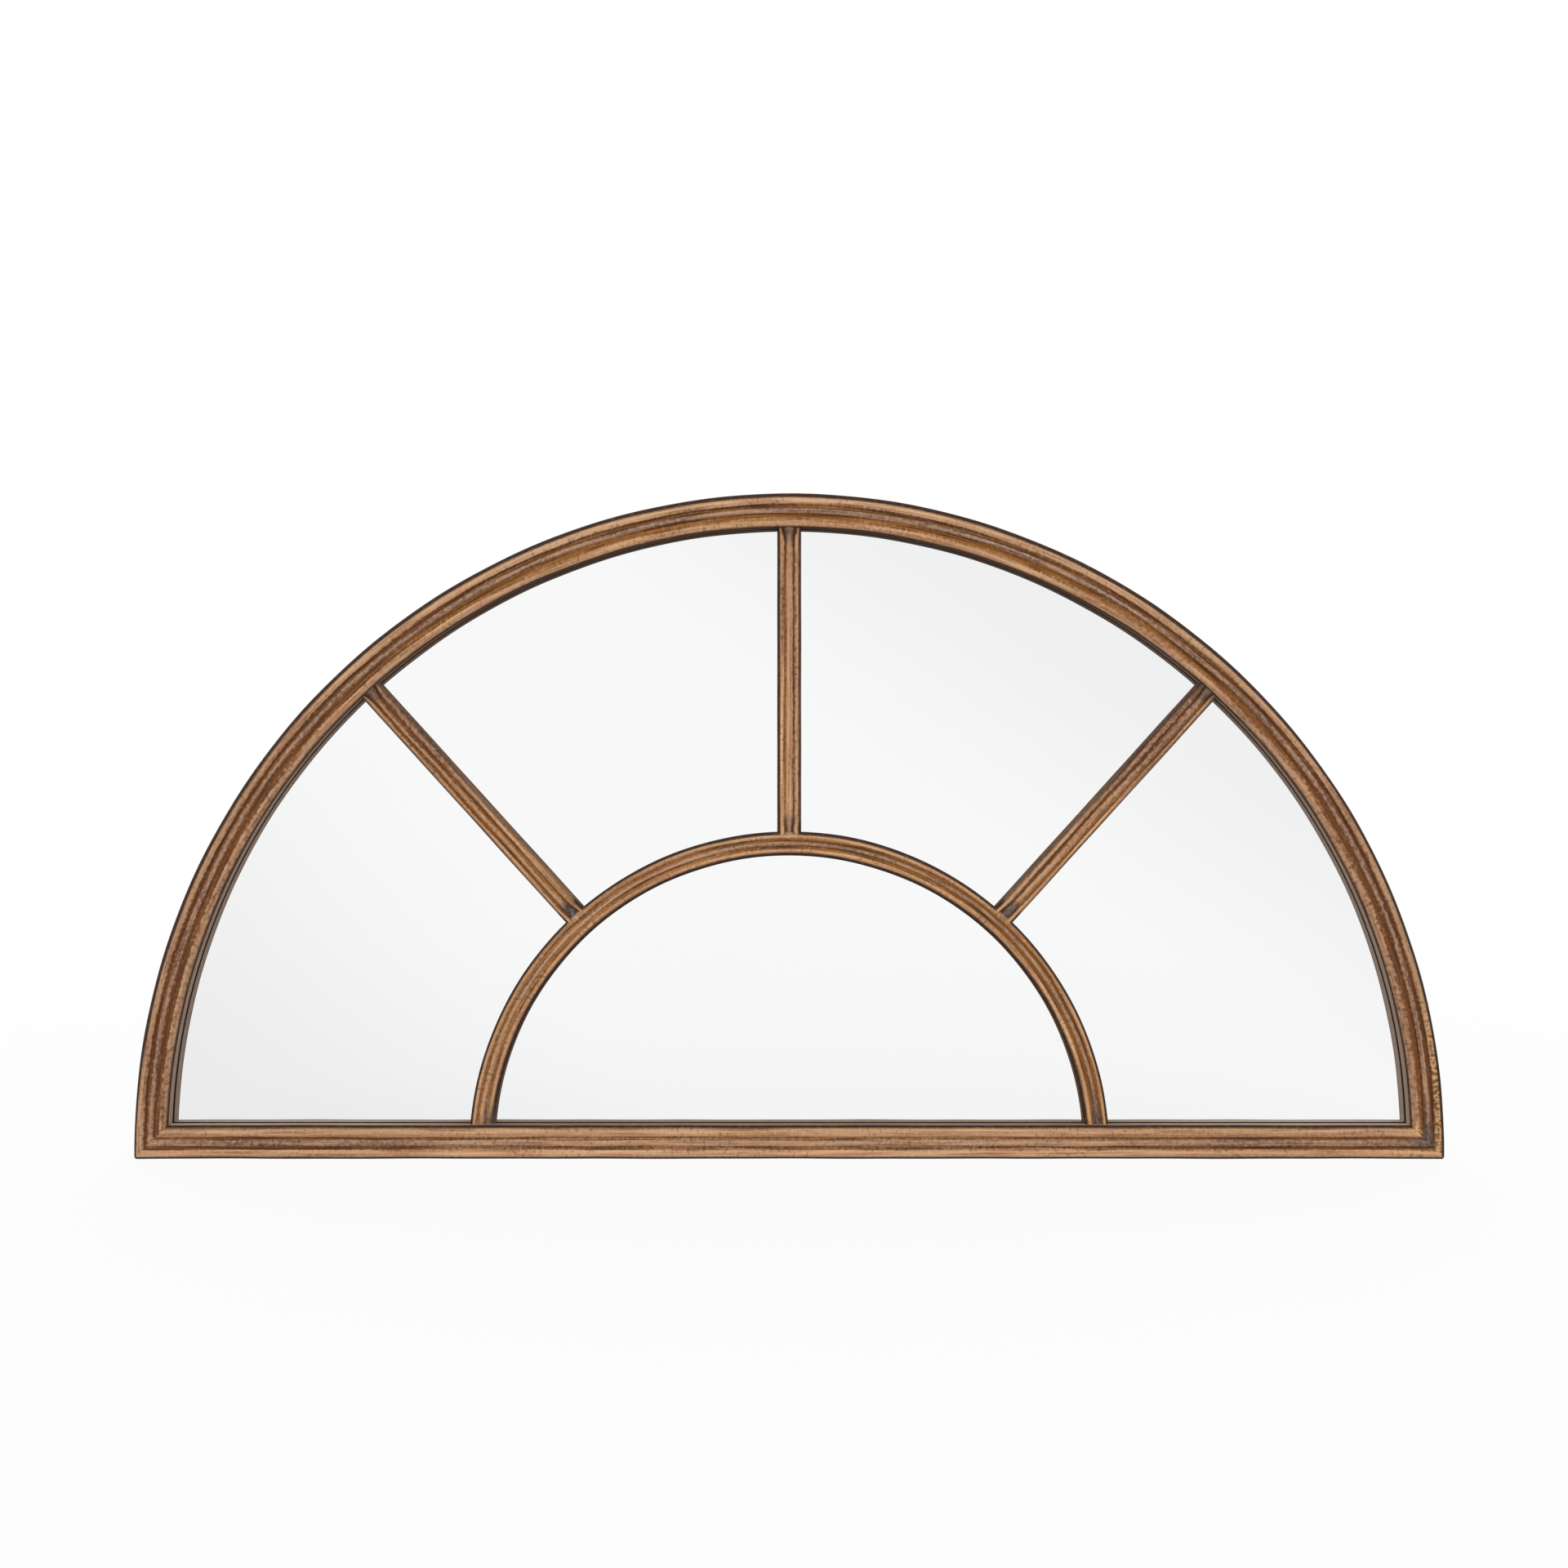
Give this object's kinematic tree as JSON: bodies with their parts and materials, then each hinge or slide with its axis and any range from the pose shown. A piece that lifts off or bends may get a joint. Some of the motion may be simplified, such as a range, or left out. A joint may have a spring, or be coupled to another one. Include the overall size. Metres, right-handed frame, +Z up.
{
  "type": "arched wall mirror",
  "caption": "Half-moon wall mirror in a reeded bronze-finish steel frame, with an inner arch and radiating glazing bars before the glass and a back board held by turn buttons.",
  "frame": {"origin": "on the wall plane, midway between the entry holes of the two keyhole plates", "axes": "+X to the right as seen from the front, +Y from the mirror back into the wall, +Z up"},
  "size_m": [1.1998, 0.035, 0.6098],
  "materials": {
    "antique_bronze": "satin",
    "painted_steel": "satin",
    "zinc_steel": "satin",
    "black_tape": "matte",
    "silvered_glass": "polished",
    "card": "matte",
    "hardboard": "satin",
    "block_rubber": "matte"
  },
  "bodies": {
    "frame": {"arch_frame": "antique_bronze", "sill_rail": "antique_bronze", "inner_arch": "antique_bronze", "spoke_left": "antique_bronze", "spoke_centre": "antique_bronze", "spoke_right": "antique_bronze", "glazing_tape": "black_tape", "mirror_glass": "silvered_glass", "card_sheet": "card", "back_board": "hardboard", "setting_block_left": "block_rubber", "setting_block_right": "block_rubber", "button_lugs": "painted_steel", "button_screws": "zinc_steel", "button_washers": "zinc_steel", "hanger_plate_left": "painted_steel", "hanger_plate_right": "painted_steel", "corner_gusset_left": "painted_steel", "corner_gusset_right": "painted_steel"},
    "button_arch_1": {"turn_button_arch_1": "zinc_steel"},
    "button_arch_2": {"turn_button_arch_2": "zinc_steel"},
    "button_arch_3": {"turn_button_arch_3": "zinc_steel"},
    "button_arch_4": {"turn_button_arch_4": "zinc_steel"},
    "button_sill_left": {"turn_button_sill_left": "zinc_steel"},
    "button_sill_right": {"turn_button_sill_right": "zinc_steel"}
  },
  "joints": [
    {"name": "turn_arch_1", "type": "hinge", "parent": "frame", "child": "button_arch_1", "pos_m": [-0.54463, -0.00495, -0.18913], "axis": [0, 1, 0], "range_deg": [-100, 100]},
    {"name": "turn_arch_2", "type": "hinge", "parent": "frame", "child": "button_arch_2", "pos_m": [-0.22559, -0.00495, 0.12991], "axis": [0, 1, 0], "range_deg": [-100, 100]},
    {"name": "turn_arch_3", "type": "hinge", "parent": "frame", "child": "button_arch_3", "pos_m": [0.22559, -0.00495, 0.12991], "axis": [0, 1, 0], "range_deg": [-100, 100]},
    {"name": "turn_arch_4", "type": "hinge", "parent": "frame", "child": "button_arch_4", "pos_m": [0.54463, -0.00495, -0.18913], "axis": [0, 1, 0], "range_deg": [-100, 100]},
    {"name": "turn_sill_left", "type": "hinge", "parent": "frame", "child": "button_sill_left", "pos_m": [-0.24, -0.00495, -0.41422], "axis": [0, 1, 0], "range_deg": [-100, 100]},
    {"name": "turn_sill_right", "type": "hinge", "parent": "frame", "child": "button_sill_right", "pos_m": [0.24, -0.00495, -0.41422], "axis": [0, 1, 0], "range_deg": [-100, 100]}
  ]
}
